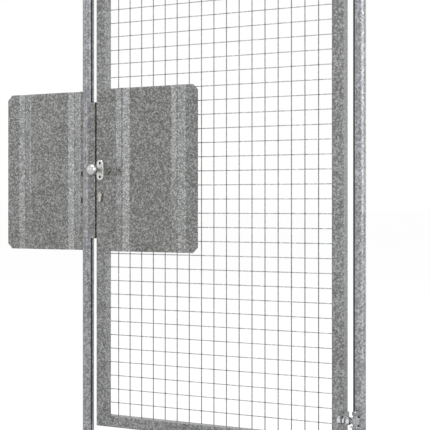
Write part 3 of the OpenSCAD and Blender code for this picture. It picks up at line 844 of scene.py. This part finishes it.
outward(lever)
spindle = block((handle_x - 0.004, -0.009, handle_z - 0.004),
                (handle_x + 0.004, half + 0.004, handle_z + 0.004), 0.0004)
collar = turned((handle_x, half, handle_z), (0, 1, 0),
                [(0.0079, 0.0088), (0.0082, 0.0125), (0.0104, 0.0125), (0.011, 0.0119),
                 (0.0112, 0.0088)], 48)
settled(joined(lever, spindle, collar), "inner_lever_bar", satin.material, "leaf",
        "stainless", "inner_lever", angle=40)

# ---- Hinge lugs, pins and washers -----------------------------------------------------
# On the post: forged lugs welded to its front, a 14 mm pin fixed between them, and two
# washers that the eye turns against. Everything is galvanised.
hinge_zinc = galvanised("hinge_zinc", (0.13, 0.13, 0.13), (0.32, 0.325, 0.33), 0.003,
                        metallic=0.8, rough=0.22)
bolt_zinc = galvanised("bolt_zinc", (0.26, 0.26, 0.264), (0.47, 0.475, 0.5), 0.002,
                       metallic=1.0, rough=0.12)
pin_y = -(post_radius + 0.0148)
lug_r, lug_h, web_half, weld_r = 0.011, 0.014, 0.006, 0.0026


def both_hinges(piece, node, ending, material, body, angle=32):
    """The lower hinge's finished piece and its copy at the upper hinge."""
    twin = copied(piece, "lower_" + node, "upper_" + node)
    for level, part in (("lower_", piece), ("upper_", twin)):
        settled(part, level + node + ending, material, body, "hinge_steel", level + node,
                angle=angle)


low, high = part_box("lower_hinge_lugs")
lugs = []
for z, up in ((high[2] - lug_h, 1), (low[2] + lug_h, -1)):
    barrel = turned((0, pin_y, z), (0, 0, up),
                    [(0, 0.0072), (0, lug_r - 0.0005), (0.0005, lug_r),
                     (lug_h - 0.0042, lug_r), (lug_h - 0.0034, lug_r - 0.0005),
                     (lug_h - 0.0004, lug_r - 0.0036), (lug_h, lug_r - 0.0044),
                     (lug_h, 0.002)])
    web_end = z + up * (lug_h - 0.004)
    web_low, web_high = min(z, web_end), max(z, web_end)
    lugs += [barrel, block((-web_half, pin_y, web_low),
                           (web_half, -post_radius + 0.002, web_high), 0.001)]
    for x in (-web_half, web_half):
        lugs.append(rod((x, -post_radius + 0.0004, web_low),
                        (x, -post_radius + 0.0004, web_high), weld_r, 12, 0.0008))
    lugs.append(rod((-web_half, -post_radius + 0.0002, web_end),
                    (web_half, -post_radius + 0.0002, web_end), weld_r, 12, 0.0008))
both_hinges(joined(*lugs), "hinge_lugs", "_forged", hinge_zinc, "frame")
low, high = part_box("lower_hinge_pin")
both_hinges(rod((0, pin_y, low[2]), (0, pin_y, high[2]), 0.007, 40, 0.0005), "hinge_pin",
            "_bar", bolt_zinc, "frame")
for level in ("lower", "upper"):
    softened_node(level + "_hinge_washers", bolt_zinc, 0.0004)

# ---- Hinge plates on the leaf ---------------------------------------------------------
# A flat plate of 5 mm stands across the edge of the hinge stile at each hinge and is
# welded along its top, its bottom and its back.
low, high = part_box("lower_hinge_plate")
plate = block(low, high, 0.0012, 3)
welds = [rod((low[0] + 0.0002, -half + 0.005, z), (low[0] + 0.0002, half - 0.005, z),
             weld_r, 12, 0.0008) for z in (low[2] - 0.0004, high[2] + 0.0004)]
both_hinges(joined(plate, *welds), "hinge_plate", "_flat", hinge_zinc, "leaf")

# ---- Eyebolts and nuts ----------------------------------------------------------------
# The leaf hangs on two M16 eyebolts. A nut on either side of the hinge plate sets the
# gap, and a third one locks the eye. The thread runs up to the eye.


def washer_ring(centre, outer, inner, height, edge):
    """A flat ring about an upright axis, its rims rounded."""
    bpy.ops.object.select_all(action="DESELECT")
    bpy.ops.mesh.primitive_circle_add(vertices=64, radius=outer, fill_type="NOTHING",
                                      location=centre)
    piece = rooted(bpy.context.object)
    bpy.ops.object.mode_set(mode="EDIT")
    bpy.ops.mesh.select_all(action="SELECT")
    bpy.ops.mesh.extrude_region()
    bpy.ops.transform.resize(value=(inner / outer,) * 3, center_override=centre)
    bpy.ops.mesh.select_all(action="SELECT")
    bpy.ops.mesh.extrude_region()
    bpy.ops.transform.translate(value=(0, 0, height))
    bpy.ops.object.mode_set(mode="OBJECT")
    return softened(outward(piece), edge, 3)


def hex_nut(x, z, across, height):
    """A hexagon nut on a bolt along X, its corners turned off at both faces."""
    corner, face_r = across / math.sqrt(3), across * 0.44
    nut = turned((x, pin_y, z), (1, 0, 0), [(0, corner), (height, corner)], 6)
    blank = turned((x, pin_y, z), (1, 0, 0),
                   [(-0.0002, face_r), (0.0019, corner + 0.0002),
                    (height - 0.0019, corner + 0.0002), (height + 0.0002, face_r)], 48)
    modified(nut, "BOOLEAN", operation="INTERSECT", object=blank, solver="EXACT")
    bpy.data.objects.remove(blank)
    return softened(nut, 0.0003, 2, 20)


low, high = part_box("lower_eyebolt")
z = (low[2] + high[2]) / 2
eye_r, eye_h = 0.013, 0.019
eye = washer_ring((0, pin_y, z - eye_h / 2), eye_r, 0.00705, eye_h, 0.0014)
thread = [(0.0, 0.0069)]
start, crest, root, step = low[0], 0.008, 0.0071, 0.002
for k in range(int((-eye_r - start) / step)):
    thread += [(0.0006 + k * step, crest), (0.0011 + k * step, crest),
               (0.0016 + k * step, root), (0.002 + k * step, root)]
shank = turned((start, pin_y, z), (1, 0, 0), thread + [(-eye_r + 0.003 - start, root)], 32)
both_hinges(joined(eye, shank), "eyebolt", "_threaded", bolt_zinc, "leaf", angle=40)
nut_w, nut_h, thin_nut_h, hinge_plate_t = 0.024, 0.0128, 0.008, 0.005
nuts = [hex_nut(x, z, nut_w, height) for x, height in
        ((right - nut_h, nut_h), (right + hinge_plate_t, thin_nut_h),
         (-eye_r - 0.005 - nut_h, nut_h))]
# The nuts take a lighter copy of the bolts' zinc: painted highlight, for the glints on their
# facets.
nut_zinc_painted_highlight = galvanised("nut_zinc_painted_highlight", (0.5, 0.5, 0.51), (0.8, 0.81, 0.84), 0.0012,
                      metallic=1.0, rough=0.12)
both_hinges(joined(*nuts), "hinge_nuts", "_hexagon", nut_zinc_painted_highlight, "leaf")

# ---- Size of the finished model -------------------------------------------------------
# The box of the finished model is computed.
low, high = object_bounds()
